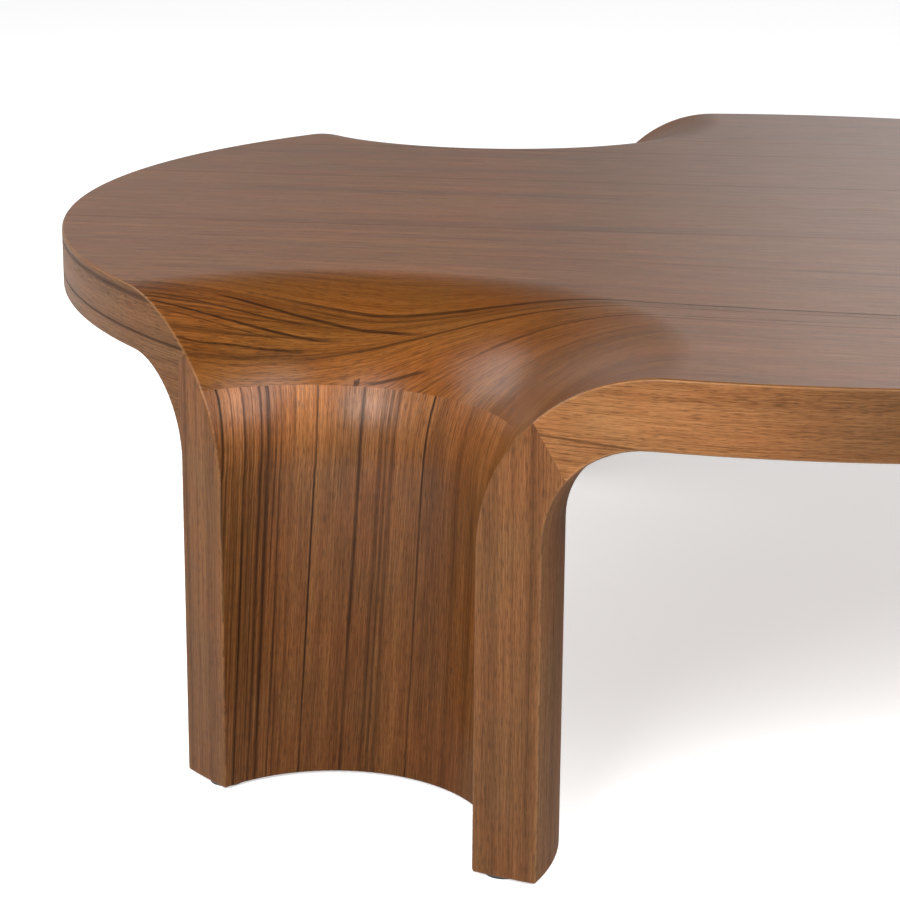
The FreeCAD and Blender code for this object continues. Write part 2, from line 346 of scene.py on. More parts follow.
def arris_dots(spot, side, angles, width):
    """The dots over the rounded arris on one side of a turned sheet."""
    edge = spot_edge(spot, side)
    across = width * side * edge_angle(spot.rho, spot.ring)
    return [Dot(eased(edge, spot.ring, a), spot.along, across, a / arris_middle) for a in angles]


whole_width = spans(-1, 1, turned_columns)


def turned_dots(row, width):
    """One row of a turned sheet, from arris to arris. The row gives its spot at each share."""
    dots = arris_dots(row(-1), -1, spans(arris_middle, 0, arris_rows)[:-1], width)
    for share in whole_width:
        spot = row(share)
        place, angle = round_scoop(spot, share)
        dots.append(Dot(place, spot.along, width * angle, 0))
    return dots + arris_dots(row(1), 1, spans(0, arris_middle, arris_rows)[1:], width)


def new_sheet():
    """An empty mesh that holds the grain's direction and, at each place, its share of arris wear and
    painted highlight.
    """
    mesh = bmesh.new()
    mesh.loops.layers.uv.new("grain")
    mesh.verts.layers.float.new("rubbed")
    return mesh


def lay_face(mesh, dots, verts, flip):
    grain = mesh.loops.layers.uv["grain"]
    pairs = list(zip(verts, dots))
    if flip:
        pairs.reverse()
    face = mesh.faces.new([vert for vert, dot in pairs])
    face.smooth = True
    for loop, (vert, dot) in zip(face.loops, pairs):
        loop[grain].uv = (dot.along, dot.across)


def lay_grid(mesh, grid, outward, turn=Matrix.Identity(4)):
    """Rows of dots as a skin of quads whose front faces outward."""
    rubbed = mesh.verts.layers.float["rubbed"]
    verts = []
    for row in grid:
        verts.append([mesh.verts.new(turn @ dot.place) for dot in row])
        for vert, dot in zip(verts[-1], row):
            vert[rubbed] = dot.rubbed
    i = len(grid) // 2
    j = len(grid[0]) // 2
    here = grid[i][j].place
    normal = (grid[i - 1][j].place - here).cross(grid[i][j - 1].place - here)
    flip = normal.dot(outward) < 0
    for a in range(len(grid) - 1):
        for b in range(len(grid[0]) - 1):
            corners = ((a, b), (a + 1, b), (a + 1, b + 1), (a, b + 1))
            lay_face(mesh, [grid[m][n] for m, n in corners], [verts[m][n] for m, n in corners], flip)


def put_on(mesh, name, stands_for, material):
    """Makes a sheet of veneer from its skin and lays it on the table."""
    bmesh.ops.remove_doubles(mesh, verts=mesh.verts, dist=same_place)
    for edge in mesh.edges:
        edge.smooth = not edge.is_boundary
    data = bpy.data.meshes.new(name)
    mesh.to_mesh(data)
    mesh.free()
    data.materials.append(material)
    piece = bpy.data.objects.new(name, data)
    bpy.context.scene.collection.objects.link(piece)
    thick = piece.modifiers.new("sheet", "SOLIDIFY")
    thick.thickness = sheet
    thick.offset = -1
    even = piece.modifiers.new("even_shading", "WEIGHTED_NORMAL")
    even.keep_sharp = True
    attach(piece, "root")
    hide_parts(stands_for)


def grain_uv(tree):
    """How far along and across the grain a place is, from the sheet's own map, in metres."""
    mapped = add(tree, "ShaderNodeUVMap", uv_map="grain")
    parts = add(tree, "ShaderNodeSeparateXYZ", {0: mapped.outputs[0]})
    return parts.outputs[0], parts.outputs[1]


def streaks(tree, along, across, kind, seed=0.0):
    """Random streaks of a kind's length and width, in metres."""
    values = {
        0: maths(tree, "DIVIDE", along, kind.long),
        1: maths(tree, "DIVIDE", across, kind.wide),
        2: seed + kind.seed,
    }
    return clouds(tree, add(tree, "ShaderNodeCombineXYZ", values).outputs[0], kind.detail)


def dark_lines(tree, across, lines):
    """Dark lines beside each other, each at its full depth over its middle quarter."""
    darkest = 0.0
    for place, half, depth in lines:
        gap = maths(tree, "ABSOLUTE", maths(tree, "SUBTRACT", across, place / mm_per_metre))
        reach = half / mm_per_metre
        darkest = maths(tree, "MAXIMUM", darkest, spread(tree, gap, reach / 4, reach, depth, 0.0))
    return darkest


walnut_dark = (0.019, 0.0085, 0.004, 1)
# The pale tan at an arris: partly wear, partly a painted highlight along the edge
worn_highlight_tone = (0.34, 0.19, 0.095, 1)
walnut_red = (1.03, 0.9, 0.82, 1)

Streak = namedtuple("Streak", "long wide detail seed")
drift_streak = Streak(long=0.35, wide=0.12, detail=1.0, seed=0)
broad_streak = Streak(long=1.1, wide=0.045, detail=1.0, seed=3)
band_streak = Streak(long=0.5, wide=0.009, detail=3.0, seed=7)
fibre_streak = Streak(long=0.04, wide=0.0011, detail=3.0, seed=11)
patch_streak = Streak(long=0.09, wide=0.05, detail=2.0, seed=17)
hair_streak = Streak(long=0.11, wide=0.0011, detail=2.0, seed=23)
break_streak = Streak(long=0.1, wide=0.003, detail=2.0, seed=27)
pore_streak = Streak(long=0.009, wide=0.0005, detail=1.0, seed=29)

# How much the broad streaks, bands, fibres and patches each count in the wood's tone
tone_shares = (0.22, 0.3, 0.4, 0.08)
tone_reach = 0.13
red_range = (0.35, 0.65)
hair_range = (0.56, 0.72)
break_range = (0.3, 0.55, 0.5, 1.0)
pore_range = (0.52, 0.64)
veneer_rough = (0.35, 0.47)
pore_dulls = 0.12
fibre_coat = 0.8
dark_thins = -0.45
fibre_relief = 0.4


def wood_tone(tree, parts, tones, contrast):
    """The wood's own colour, which runs from dark to pale with the sum of its streaks."""
    share = 0.0
    for part, weight in zip(parts, tone_shares):
        share = maths(tree, "MULTIPLY_ADD", part, weight, share)
    reach = tone_reach / contrast
    share = spread(tree, share, cloud_middle - reach, cloud_middle + reach)
    ramp = add(tree, "ShaderNodeValToRGB", {0: share})
    stops = ramp.color_ramp.elements
    stops[0].color = tones[0]
    stops[1].color = tones[2]
    stops.new(0.5).color = tones[1]
    return ramp.outputs[0]


def walnut(name, grain, tones, lines=(), wander=0.004, flecks=0.5, hairs=0.5, contrast=1.0,
           seed=0.0, figure=None, shade=None, gloss=None, wear_highlight_share=0.15, coat=1.0, relief=0.00006):
    """Oiled walnut veneer: bands, fibres, dark lines and pores under a thin satin coat, with arrises
    painted pale, partly as wear and partly as a painted highlight.
    """
    material, tree, shader = new_finish(
        name, Coat_Roughness=0.29, Coat_IOR=1.3, Specular_IOR_Level=0.0)
    along, across = grain(tree)
    drift = maths(tree, "SUBTRACT", streaks(tree, along, across, drift_streak, seed), cloud_middle)
    lane = maths(tree, "ADD", across, maths(tree, "MULTIPLY", drift, wander))
    broad = streaks(tree, along, lane, broad_streak, seed)
    bands = streaks(tree, along, lane, band_streak, seed)
    fibres = streaks(tree, along, lane, fibre_streak, seed)
    patches = streaks(tree, along, lane, patch_streak, seed)
    colour = wood_tone(tree, (broad, bands, fibres, patches), tones, contrast)
    colour = mixed(tree, spread(tree, patches, *red_range), colour, walnut_red, "MULTIPLY")
    # Painted light and shade, where a piece's shade function gives it
    if shade:
        level = shade(tree, along, across)
        grey = add(tree, "ShaderNodeCombineColor", {0: level, 1: level, 2: level})
        colour = mixed(tree, 1.0, colour, grey.outputs[0], "MULTIPLY")
    thin = streaks(tree, along, lane, hair_streak, seed)
    darkness = spread(tree, thin, *hair_range, 0.0, hairs)
    if lines:
        broken = spread(tree, streaks(tree, along, lane, break_streak, seed), *break_range)
        drawn = maths(tree, "MULTIPLY", dark_lines(tree, lane, lines), broken)
        darkness = maths(tree, "MAXIMUM", darkness, drawn)
    if figure:
        darkness = maths(tree, "MAXIMUM", darkness, figure(tree, along, across))
    colour = mixed(tree, darkness, colour, walnut_dark)
    pores = spread(tree, streaks(tree, along, lane, pore_streak, seed), *pore_range)
    colour = mixed(tree, maths(tree, "MULTIPLY", pores, flecks), colour, walnut_dark)
    # Arrises painted pale: partly wear, partly a painted highlight
    worn_and_lit = add(tree, "ShaderNodeAttribute", attribute_name="rubbed").outputs["Fac"]
    colour = mixed(tree, maths(tree, "MULTIPLY", worn_and_lit, wear_highlight_share), colour, worn_highlight_tone)
    rough = spread(tree, fibres, *usual_range, *veneer_rough)
    rough = maths(tree, "MULTIPLY_ADD", pores, pore_dulls, rough)
    polish = spread(tree, fibres, *usual_range, fibre_coat * coat, coat)
    polish = maths(tree, "MULTIPLY_ADD", darkness, dark_thins * coat, polish)
    if gloss:
        polish = maths(tree, "MULTIPLY", polish, gloss(tree, along, across))
    tree.links.new(polish, shader.inputs["Coat Weight"])
    height = maths(tree, "SUBTRACT", maths(tree, "MULTIPLY", fibres, fibre_relief), pores)
    surface(tree, shader, colour, rough, height, depth=relief, strength=0.7)
    tree.links.new(shader.inputs["Normal"].links[0].from_socket, shader.inputs["Coat Normal"])
    return material


def fixed_row(spot):
    """A row of a sheet that lies level, so that its spot is the same at every share."""
    return lambda share: spot


def under_spot(angle):
    """A place on the bend under the top, at an angle turned from the underside."""
    lean = (math.sin(angle), -math.cos(angle))
    place = (under_rho - under_bend * lean[0], under_z - under_bend * lean[1])
    return Spot(*place, *lean, table_radius, under_z + under_bend * (quarter - angle))


def inner_rows():
    """The back of the leg from its foot up, and out under the top."""
    spots = foot_spots(back_rho, 1)
    spots += [Spot(back_rho, z, 1, 0, table_radius, z) for z in spans(foot_top, under_z, leg_rows)]
    spots += [under_spot(angle) for angle in spans(quarter, 0, under_rows)[1:]]
    return [fixed_row(spot) for spot in spots]


inner_finish = walnut(
    "inner_walnut", grain_uv, inner_tones, inner_lines, seed=41.0, contrast=0.8, coat=0.15)
for place, turn in zip(places, turns):
    mesh = new_sheet()
    grid = [turned_dots(row, back_rho) for row in inner_rows()]
    lay_grid(mesh, grid, Vector((-1, 0, 0)), turn)
    put_on(mesh, "inner_sheet_" + place, "inner_veneer_" + place, inner_finish)

# Under veneer
# A plain balancing sheet of walnut under the top keeps it from warping. It is cut round the
# three legs' sweeps and sanded flush at the rim.

rim_columns = 56
under_tones = ((0.06, 0.03, 0.015, 1), (0.11, 0.055, 0.028, 1), (0.16, 0.085, 0.045, 1))
under_lines = tuple((place, 6, 0.4) for place in (-520, -390, -215, -70, 120, 260, 430, 560))


def rim_edge(angle, z, out):
    """The slab's edge at an angle round the table, as spot_edge gives it at a knee."""
    def edge(ring, drop):
        return Vector((ring * math.cos(angle), ring * math.sin(angle), z - out * drop))
    return edge


def turned_edge(edge, turn):
    return lambda ring, drop: turn @ edge(ring, drop)


def flat_run(spot):
    """The slab's edges along the rim, from one leg's bend to the next leg's."""
    start = corner_angle(axis_radius, table_radius, spot.rho)
    edges = [rim_edge(a, spot.z, spot.out_z) for a in spans(start, leg_turn - start, rim_columns)]
    edges[0] = spot_edge(spot, -1)
    edges[-1] = turned_edge(spot_edge(spot, 1), turns[1])
    return edges


def xy_dot(place, rubbed=0.0):
    return Dot(place, place.x, place.y, rubbed)


def lay_flat(mesh, spot):
    """The flat part of a sheet on the slab: one face, and its rounded arris at the rim."""
    outline = []
    for turn in turns:
        outline += [turn @ round_scoop(spot, -share)[0] for share in whole_width]
        run = flat_run(spot)
        outline += [turn @ eased(edge, table_radius, 0) for edge in run[1:-1]]
        grid = []
        for angle in spans(0, arris_middle, arris_rows):
            row = [turn @ eased(edge, table_radius, angle) for edge in run]
            grid.append([xy_dot(place, angle / arris_middle) for place in row])
        outward = Vector((0, 0, spot.out_z)) + grid[0][rim_columns // 2].place.normalized()
        lay_grid(mesh, grid, outward)
    dots = [xy_dot(place) for place in outline]
    lay_face(mesh, dots, [mesh.verts.new(dot.place) for dot in dots], spot.out_z < 0)


def grain_xy(tree):
    """The grain of a flat sheet runs straight across the whole table."""
    parts = add(tree, "ShaderNodeSeparateXYZ", {0: in_object(tree)})
    return parts.outputs[0], parts.outputs[1]


under_sheet = new_sheet()
lay_flat(under_sheet, Spot(under_rho, underside, 0, -1, table_radius, 0))
under_finish = walnut("under_walnut", grain_xy, under_tones, under_lines, seed=5.0, contrast=0.8)
put_on(under_sheet, "under_sheet", "under_veneer", under_finish)

# Scoop veneers
# The hollow face of each leg is one sheet with upright grain and dark growth lines. It was bent
# to the round, carried up over the lower knee and jointed there to the top's sheet.

knee_bend = 0.136
knee_rho = scoop_radius + knee_bend
knee_z = table_height - knee_bend
seam_middle = 60.8
seam_lean = -1.9
seam_drop = -1.1
knee_rows = 14

grain_lean = 0.062
lean_start = 0.255
flare_rise = (0.25, 0.312, 0.0, 0.39)

scoop_tones = ((0.05, 0.019, 0.006, 1), (0.12, 0.046, 0.013, 1), (0.2, 0.088, 0.028, 1))
scoop_lines = (
    (-146, 3, 0.25), (-118, 2, 0.2), (-97, 4, 0.15), (-60, 1.5, 0.3), (-28, 2, 0.25),
    (7, 1.5, 0.95), (34, 3.0, 0.5), (39, 2.2, 0.65), (44, 3.0, 0.5), (60, 2.3, 0.85),
    (93.5, 1.3, 1.0), (110, 1.8, 0.4), (120, 1.3, 0.6), (130, 2.4, 0.9), (136, 2.0, 0.85),
    (142.5, 1.1, 0.5), (149.5, 1.8, 1.0), (160, 1.2, 0.6), (170, 2.0, 1.0),
)
dense_streak = Streak(long=0.3, wide=0.0022, detail=3.0, seed=5)
dense_range = (0.48, 0.68)
dense_from = (0.095, 0.12)
dense_below = (0.22, 0.34, 0.8, 0.35)
# Painted light on the hollow: painted shade low on the leg, painted paler on the bend, and paler still
# near one lip, partly wood and partly painted highlight
painted_shade_level = 0.89
painted_light_rise = (0.24, 0.33)
pale_and_highlight_strip = (0.065, 0.085, 0.62, 1.05)
dark_strip = (0.158, 0.178, 1.0, 0.7)
gloss_above = (0.1, 0.3, 0.35, 1.0)


def seam_angle(share):
    """How far down the knee the joint with the top's sheet lies, which drifts from lip to lip."""
    return math.radians(seam_middle + seam_lean * share + seam_drop * share**4)


def knee_spot(angle):
    """A place on the knee's bend, at an angle turned from its crest."""
    lean = (-math.sin(angle), math.cos(angle))
    place = (knee_rho + knee_bend * lean[0], knee_z + knee_bend * lean[1])
    return Spot(*place, *lean, table_radius, knee_z + knee_bend * (quarter - angle))


def scoop_rows():
    """The hollow face from its foot up to the seam on the knee."""
    spots = foot_spots(scoop_radius, -1)
    spots += [Spot(scoop_radius, z, -1, 0, table_radius, z) for z in spans(foot_top, knee_z, knee_rows)]
    rows = [fixed_row(spot) for spot in spots]
    for up_share in spans(0, 1, knee_rows)[1:]:
        rows.append(lambda share, u=up_share: knee_spot(quarter + u * (seam_angle(share) - quarter)))
    return rows


def leaning_grain(tree):
    """Upright grain that draws together on the knee, and leans towards one lip down the leg."""
    along, across = grain_uv(tree)
    low = maths(tree, "MAXIMUM", maths(tree, "SUBTRACT", lean_start, along), 0.0)
    leaning = maths(tree, "SUBTRACT", across, maths(tree, "MULTIPLY", low, grain_lean))
    flare = maths(tree, "MULTIPLY", spread(tree, along, *flare_rise), across)
    return along, maths(tree, "MULTIPLY_ADD", flare, maths(tree, "ABSOLUTE", across), leaning)


def painted_light_on_bend(tree, along, across):
    """Painted light: the hollow is painted paler on the bend, where its face tilts up to the lamps,
    palest near one lip, partly as the wood and partly as a painted highlight, and dark along that lip's
    edge.
    """
    high = spread(tree, along, *painted_light_rise, smooth=True)
    level = maths(tree, "MULTIPLY_ADD", high, spread(tree, across, *pale_and_highlight_strip), painted_shade_level)
    return maths(tree, "MULTIPLY", level, spread(tree, across, *dark_strip))


def duller_foot(tree, along, across):
    """The coat is rubbed thin low on the leg."""
    return spread(tree, along, *gloss_above, smooth=True)


def dense_hairs(tree, along, across):
    """Many fine dark lines side by side near one lip."""
    fine = spread(tree, streaks(tree, along, across, dense_streak), *dense_range)
    hairs = maths(tree, "MULTIPLY", fine, spread(tree, along, *dense_below))
    return maths(tree, "MULTIPLY", hairs, spread(tree, across, *dense_from))


scoop_finish = walnut(
    "scoop_walnut", leaning_grain, scoop_tones, scoop_lines, wander=0.003, hairs=0.35, contrast=0.8,
    seed=71.0, figure=dense_hairs, shade=painted_light_on_bend, gloss=duller_foot)
for place, turn in zip(places, turns):
    mesh = new_sheet()
    grid = [turned_dots(row, scoop_radius) for row in scoop_rows()]
    lay_grid(mesh, grid, Vector((1, 0, 0)), turn)
    put_on(mesh, "scoop_sheet_" + place, "scoop_veneer_" + place, scoop_finish)

# Lip veneers
# A narrow upright strip closes each end face of the leg. It stands on the rim circle and is
# mitred into the rim's band high on the knee, straight at one lip and kinked at the other.

mitre = math.radians(44)
low_mitre = math.radians(50)
kinked_mitre = math.radians(69)
kink = 0.009
lip_columns = 14
lip_rows = 40

lip_tones = ((0.075, 0.031, 0.01, 1), (0.135, 0.057, 0.019, 1), (0.19, 0.087, 0.032, 1))
lip_lines = ((16, 3.5, 0.3), (29, 2.0, 0.25), (43, 3.0, 0.25))
# Painted shade, darker towards the floor
lip_painted_shade = (0.05, 0.25, 0.82, 0.98)


def to_rim(place):
    """An angle round the table and a height."""
    return Vector((math.atan2(place.y, place.x), place.z))


def from_rim(flat, ring):
    return Vector((ring * math.cos(flat.x), ring * math.sin(flat.x), flat.y))


def on_lip(spot, side):
    """Where the lip's flat part begins, inside the rounded arris."""
    return to_rim(eased(spot_edge(spot, side), spot.ring, quarter))


def seam_bends(side):
    """How the mitre departs from a straight line at each column, in angle and height."""
    if side < 0:
        return [Vector((0, 0)) for share in spans(0, 1, lip_columns)]
    top = on_lip(knee_spot(mitre), side)
    low = on_lip(under_spot(kinked_mitre), side)
    corner = knee_spot(mitre)
    turn_in = to_rim(on_ring(corner.rho + kink, corner.z - kink, table_radius, side))
    first = (turn_in - top).length / ((turn_in - top).length + (low - turn_in).length)
    bends = []
    for share in spans(0, 1, lip_columns):
        if share < first:
            place = top.lerp(turn_in, share / first)
        else:
            place = turn_in.lerp(low, (share - first) / (1 - first))
        bends.append(place - top.lerp(low, share))
    return bends


def rim_dot(place, rubbed=0.0):
    """A dot whose grain runs upright on the leg's end face."""
    flat = to_rim(place)
    return Dot(place, flat.y, table_radius * abs(flat.x), rubbed)


def rim_row(first, last, ring, bends, bent):
    """Dots on the rim from one edge's arris to another's, bent by a share of the mitre."""
    start = to_rim(eased(first, ring, quarter))
    end = to_rim(eased(last, ring, quarter))
    dots = []
    for angle in spans(arris_middle, quarter, arris_rows)[:-1]:
        worn_and_lit = 1 - (angle - arris_middle) / arris_middle
        dots.append(rim_dot(eased(first, ring, angle), worn_and_lit))
    for share, bend in zip(spans(0, 1, lip_columns), bends):
        dots.append(rim_dot(from_rim(start.lerp(end, share) + bend * bent, ring)))
    for angle in spans(quarter, arris_middle, arris_rows)[1:]:
        worn_and_lit = 1 - (angle - arris_middle) / arris_middle
        dots.append(rim_dot(eased(last, ring, angle), worn_and_lit))
    return dots


def lip_row(hollow, back, side, bent=0):
    """One row of a lip from the hollow's arris to the back's."""
    edges = (spot_edge(hollow, side), spot_edge(back, side))
    return rim_row(*edges, hollow.ring, seam_bends(side), bent)


def lip_grid(side):
    """The end face from its foot up to the mitre."""
    feet = zip(foot_spots(scoop_radius, -1), foot_spots(back_rho, 1))
    rows = [lip_row(hollow, back, side) for hollow, back in feet]
    for high, low in zip(spans(foot_top, knee_z, leg_rows), spans(foot_top, under_z, leg_rows)):
        hollow = Spot(scoop_radius, high, -1, 0, table_radius, 0)
        back = Spot(back_rho, low, 1, 0, table_radius, 0)
        rows.append(lip_row(hollow, back, side))
    end = kinked_mitre if side > 0 else low_mitre
    hollow_turns = spans(quarter, mitre, lip_rows)
    back_turns = spans(quarter, end, lip_rows)
    for k in range(1, lip_rows + 1):
        bent = (k / lip_rows) ** 2
        rows.append(lip_row(knee_spot(hollow_turns[k]), under_spot(back_turns[k]), side, bent))
    return rows


def lip_grain(tree):
    """Grain along the lip, counted across from the arris with the hollow."""
    along, across = grain_uv(tree)
    start = table_radius * abs(to_rim(on_ring(scoop_radius, 0, table_radius, 1)).x)
    return along, maths(tree, "SUBTRACT", across, start)


def painted_shade_at_lip_foot(tree, along, across):
    """Painted shade: the lip is painted a little darker towards the floor."""
    return spread(tree, along, *lip_painted_shade, smooth=True)


lip_finish = walnut(
    "lip_walnut", lip_grain, lip_tones, lip_lines, hairs=0.4, contrast=0.85, seed=97.0, coat=0.5,
    shade=painted_shade_at_lip_foot, wear_highlight_share=0.08)
for place, turn in zip(places, turns):
    for side, hand in ((1, "left"), (-1, "right")):
        mesh = new_sheet()
        outward = on_ring(scoop_radius + leg_wall / 2, 0, table_radius, side)
        lay_grid(mesh, lip_grid(side), outward, turn)
        name = hand + "_lip_"
        put_on(mesh, name + "sheet_" + place, name + "veneer_" + place, lip_finish)

# Rim bands
# Three strips run round the slab's edge, one between each two legs, with their grain along the
# rim. Each was ironed on, mitred to the lips at both ends and trimmed flush.

bend_columns = 16
rim_tones = ((0.114, 0.047, 0.015, 1), (0.212, 0.094, 0.033, 1), (0.293, 0.14, 0.053, 1))
rim_first_line = ((328.5, 1.3, 0.6),)
rim_first_from = 0.26
rim_first_fall = 0.055
rim_upper_line = ((368, 10, 0.5),)
rim_upper_from = (0.19, 0.28)
rim_later_lines = ((344, 1.7, 0.8), (373, 3.5, 0.65))
rim_later_from = (0.6, 0.9)
rim_streak = Streak(long=0.014, wide=0.0013, detail=2.0, seed=23)
rim_streak_range = (0.5, 0.66)
# Painted light fall-off along the band, and a little painted light again at its far end
rim_painted_falloff = (0.22, 0.42, 1.0, 0.45)
rim_painted_far_light = (0.6, 0.9, 1.0, 1.25)


def bend_pairs(side):
    """Pairs of edges above and below the band at one leg, from its mitre to the flat."""
    end = kinked_mitre if side > 0 else low_mitre
    pairs = []
    for outer, inner in zip(spans(mitre, 0, bend_columns), spans(end, 0, bend_columns)):
        pairs.append((spot_edge(knee_spot(outer), side), spot_edge(under_spot(inner), side)))
    return pairs


def band_column(above, below, bends, bent=0):
    """One column of the band, from the top arris to the arris below, its grain along the rim."""
    dots = rim_row(above, below, table_radius, bends, bent)
    return [Dot(dot.place, dot.across, dot.along, dot.rubbed) for dot in dots]


def band_grid():
    """The band from the right lip of one leg to the left lip of the next."""
    flat_pairs = list(zip(flat_run(knee_spot(0)), flat_run(under_spot(0))))
    straight = seam_bends(-1)
    columns = [band_column(*pair, straight) for pair in bend_pairs(-1)[:-1] + flat_pairs]
    kinked = seam_bends(1)
    pairs = bend_pairs(1)
    for k in range(bend_columns - 1, -1, -1):
        above, below = (turned_edge(edge, turns[1]) for edge in pairs[k])
        columns.append(band_column(above, below, kinked, (1 - k / bend_columns) ** 2))
    return columns


def rim_figure(tree, along, across):
    """A line that runs out at the lower edge, flecks under the top, and two lines further along."""
    fallen = maths(tree, "MULTIPLY", maths(tree, "SUBTRACT", along, rim_first_from), rim_first_fall)
    first = dark_lines(tree, maths(tree, "ADD", across, fallen), rim_first_line)
    later = dark_lines(tree, across, rim_later_lines)
    later = maths(tree, "MULTIPLY", later, spread(tree, along, *rim_later_from))
    flecked = spread(tree, streaks(tree, along, across, rim_streak), *rim_streak_range)
    flecked = maths(tree, "MULTIPLY", flecked, spread(tree, along, *rim_upper_from))
    upper = maths(tree, "MULTIPLY", dark_lines(tree, across, rim_upper_line), flecked)
    return maths(tree, "MAXIMUM", maths(tree, "MAXIMUM", first, later), upper)


def painted_light_along_band(tree, along, across):
    """Painted light: the strip is painted palest where it leaves a right lip and darker further along,
    as the light falls off, and a little paler again at its far end.
    """
    start = spread(tree, along, *rim_painted_falloff, smooth=True)
    return maths(tree, "MULTIPLY", start, spread(tree, along, *rim_painted_far_light))


rim_finish = walnut(
    "rim_walnut", grain_uv, rim_tones, wander=0.003, flecks=0.45, hairs=0.35, seed=131.0,
    figure=rim_figure, shade=painted_light_along_band, wear_highlight_share=0.35, coat=0.38)
for place, turn in zip(sides, turns):
    mesh = new_sheet()
    outward = Vector((math.cos(leg_turn / 2), math.sin(leg_turn / 2), 0))
    lay_grid(mesh, band_grid(), outward, turn)
    put_on(mesh, "rim_sheet_" + place, "rim_veneer_" + place, rim_finish)

# Top veneer
# One wide sheet covers the flat top with its grain straight across the table, and is pressed
# down over the three knees, where the cut slopes through its dark lines and fans them out.

skirt_rows = 30
top_tones = ((0.078, 0.026, 0.005, 1), (0.158, 0.056, 0.01, 1), (0.225, 0.09, 0.021, 1))
top_lines = (
    (-256, 4, 0.2), (-130, 5, 0.3), (15, 4, 0.2), (132, 5, 0.3), (330, 4, 0.3), (430, 4, 0.25),
)

# The corners of the box that the drawn lines lie in
figure_low = Vector((-0.56, -0.56))
figure_high = Vector((0.56, -0.36))
upper_line = (
    (-500, -393), (-428, -393), (-373, -395), (-325, -399), (-269, -402), (-186, -409),
    (-70, -425), (60, -436), (300, -440),
)
lower_line = (
    (-470, -490), (-428, -460), (-379, -436), (-328, -424), (-267, -419), (-212, -423),
    (-150, -431), (0, -444), (300, -458),
)
# Each line's half width in mm, how dark it is, and x and y in mm of the points it runs through
figure_lines = (
    (2.3, 0.9, upper_line),
    (1.0, 0.6, ((-420, -397), (-325, -404), (-269, -407), (-190, -414))),
    (1.8, 0.95, ((-470, -405), (-386, -407), (-346, -410), (-310, -414), (-272, -421))),
    (1.3, 0.9, ((-520, -430), (-463, -421), (-410, -416), (-360, -409))),
    (1.6, 1.0, ((-520, -444), (-447, -432), (-395, -425), (-340, -419))),
    (1.1, 0.7, ((-520, -455), (-485, -447), (-433, -436), (-385, -428))),
    (1.3, 0.9, ((-520, -490), (-465, -468), (-418, -444), (-365, -428))),
    (1.3, 0.8, lower_line),
    (1.2, 0.8, ((-290, -446), (-277, -447), (-209, -450), (-120, -461), (60, -470))),
    (1.2, 0.8, ((-335, -441), (-318, -441), (-300, -441), (-279, -443))),
    (2.2, 0.9, ((-339.5, -441), (-337, -441), (-334, -440))),
    (1.5, 0.5, ((-150, -466), (-100, -470), (-5, -480), (150, -484))),
    (26.0, 0.28, ((-480, -360), (-330, -371), (-250, -378), (-140, -386))),
)
figure_fade = 0.2
figure_jitter = 0.0025
jitter_streak = Streak(long=0.05, wide=0.02, detail=2.0, seed=9)
gap_streak = Streak(long=0.03, wide=0.0012, detail=2.0, seed=21)
gap_range = (0.3, 0.6, 0.65, 1.0)

# The grain between the two drawn lines opens out from a straight strip of that place and width
fan_start = -0.4
fan_width = 0.04
fan_middle = fan_start - fan_width / 2
fan_fade = (-0.37, -0.12)
fan_reach = (0.02, 0.028, 1.0, 0.0)
fan_ends = (-0.2, 0.05, 1.0, 0.0)
fan_streak = Streak(long=0.35, wide=0.0018, detail=3.0, seed=13)
fan_hair_range = (0.5, 0.68, 0.0, 0.6)
# Painted shade over the right of the top
painted_shade_past = (-0.3, -0.19, 0.96, 0.79)


def line_height(tree, share, points):
    """Where a drawn line lies across the grain, as a share of the figure's box."""
    made = add(tree, "ShaderNodeFloatCurve", {"Value": share})
    curve = made.mapping.curves[0]
    places_on = []
    for x, y in points:
        along = (x / mm_per_metre - figure_low.x) / (figure_high.x - figure_low.x)
        height = (y / mm_per_metre - figure_low.y) / (figure_high.y - figure_low.y)
        places_on.append((along, height))
    while len(curve.points) < len(places_on):
        curve.points.new(0.5, 0.5)
    for point, place in zip(curve.points, places_on):
        point.location = place
    made.mapping.update()
    return made.outputs[0]


def drawn_line(tree, along, points):
    """A drawn line's y at each x."""
    share = spread(tree, along, figure_low.x, figure_high.x)
    height = figure_high.y - figure_low.y
    return maths(tree, "MULTIPLY_ADD", line_height(tree, share, points), height, figure_low.y)


def fanned_grain(tree):
    """Grain straight across the table, that fans out between two drawn lines over the near knee."""
    along, y = grain_xy(tree)
    upper = drawn_line(tree, along, upper_line)
    lower = drawn_line(tree, along, lower_line)
    above = maths(tree, "MAXIMUM", maths(tree, "SUBTRACT", y, upper), 0.0)
    below = maths(tree, "MINIMUM", maths(tree, "SUBTRACT", y, lower), 0.0)
    width = maths(tree, "SUBTRACT", upper, lower)
    share = maths(tree, "DIVIDE", maths(tree, "SUBTRACT", upper, y), width)
    within = maths(tree, "MULTIPLY", spread(tree, share, 0, 1), -fan_width)
    fanned = maths(tree, "ADD", maths(tree, "ADD", above, below), maths(tree, "ADD", within, fan_start))
    lift = spread(tree, y, *fan_fade, smooth=True)
    lift = maths(tree, "MULTIPLY", maths(tree, "SUBTRACT", upper, fan_start), lift)
    return along, maths(tree, "ADD", fanned, lift)


